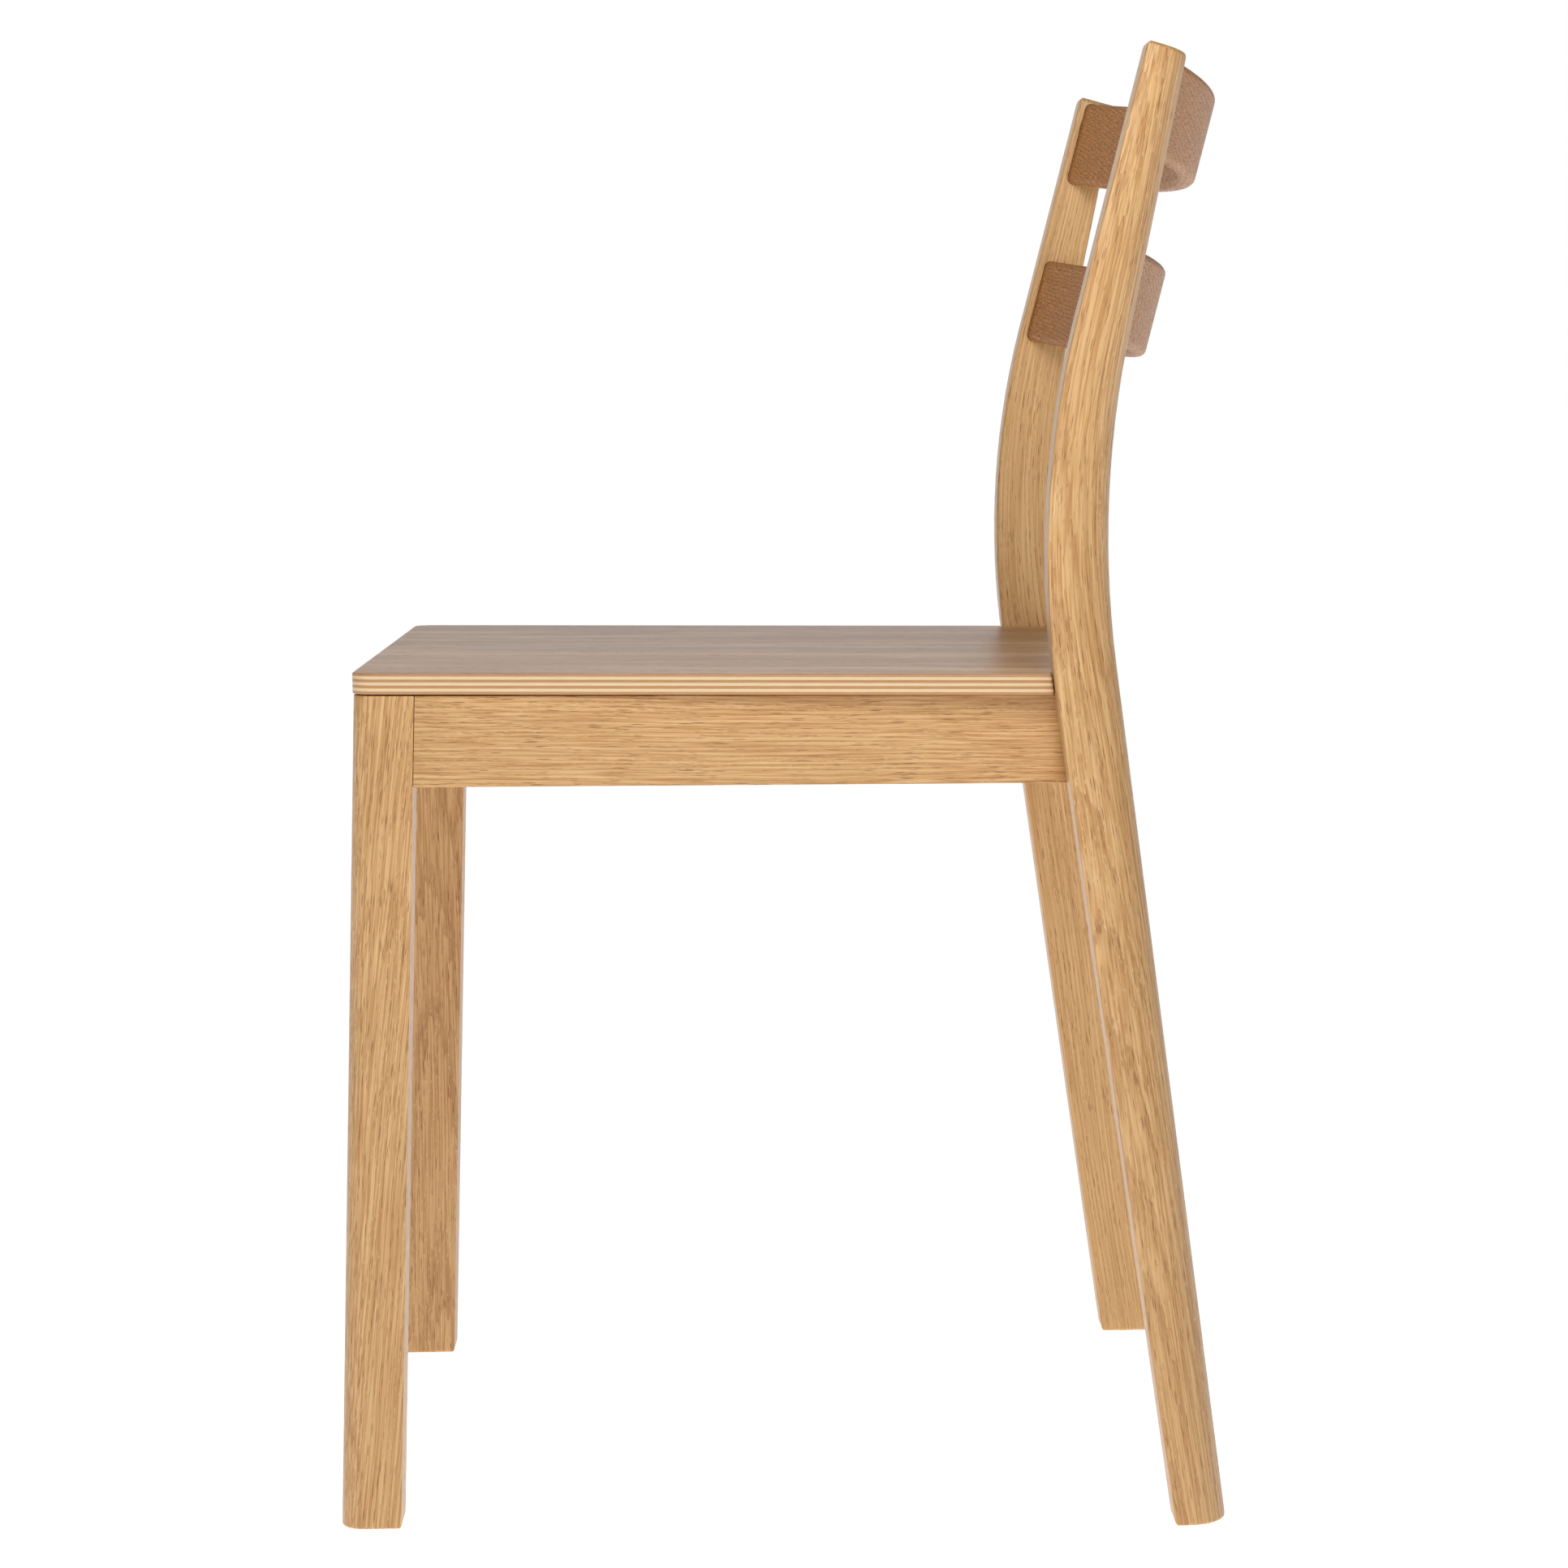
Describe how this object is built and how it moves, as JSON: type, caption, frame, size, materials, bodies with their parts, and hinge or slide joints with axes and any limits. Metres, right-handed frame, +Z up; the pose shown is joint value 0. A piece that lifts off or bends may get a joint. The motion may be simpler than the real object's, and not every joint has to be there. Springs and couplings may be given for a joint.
{
  "type": "dining chair",
  "caption": "Armless wooden dining chair with a flat plywood seat, straight front legs, bent rear legs and two bowed back slats.",
  "frame": {"origin": "on the floor, under the middle of the chair's bounding box", "axes": "+Z up, +X towards the sitter's left, the front of the seat faces -Y"},
  "size_m": [0.4954, 0.4928, 0.7755],
  "materials": {
    "oak": "clear satin lacquer on solid oak",
    "slat_oak": "clear satin lacquer on bent laminated oak",
    "plywood": "clear satin lacquer on oak-faced plywood",
    "beech": "bare planed beech",
    "screw_steel": "bright zinc plate",
    "glide_plastic": "moulded polyethylene"
  },
  "bodies": {
    "root": {"front_leg_left": "oak", "front_leg_right": "oak", "rear_leg_left": "oak", "rear_leg_right": "oak", "side_rail_left": "oak", "side_rail_right": "oak", "front_rail": "oak", "rear_rail": "oak", "upper_back_slat": "slat_oak", "lower_back_slat": "slat_oak", "seat_panel": "plywood", "front_corner_block_left": "beech", "front_corner_block_right": "beech", "rear_corner_block_left": "beech", "rear_corner_block_right": "beech", "front_rail_screw_left": "screw_steel", "front_rail_screw_right": "screw_steel", "front_side_screw_left": "screw_steel", "front_side_screw_right": "screw_steel", "front_seat_screw_left": "screw_steel", "front_seat_screw_right": "screw_steel", "rear_rail_screw_left": "screw_steel", "rear_rail_screw_right": "screw_steel", "rear_side_screw_left": "screw_steel", "rear_side_screw_right": "screw_steel", "rear_seat_screw_left": "screw_steel", "rear_seat_screw_right": "screw_steel", "front_foot_glide_left": "glide_plastic", "front_foot_glide_right": "glide_plastic", "rear_foot_glide_left": "glide_plastic", "rear_foot_glide_right": "glide_plastic"}
  },
  "joints": []
}
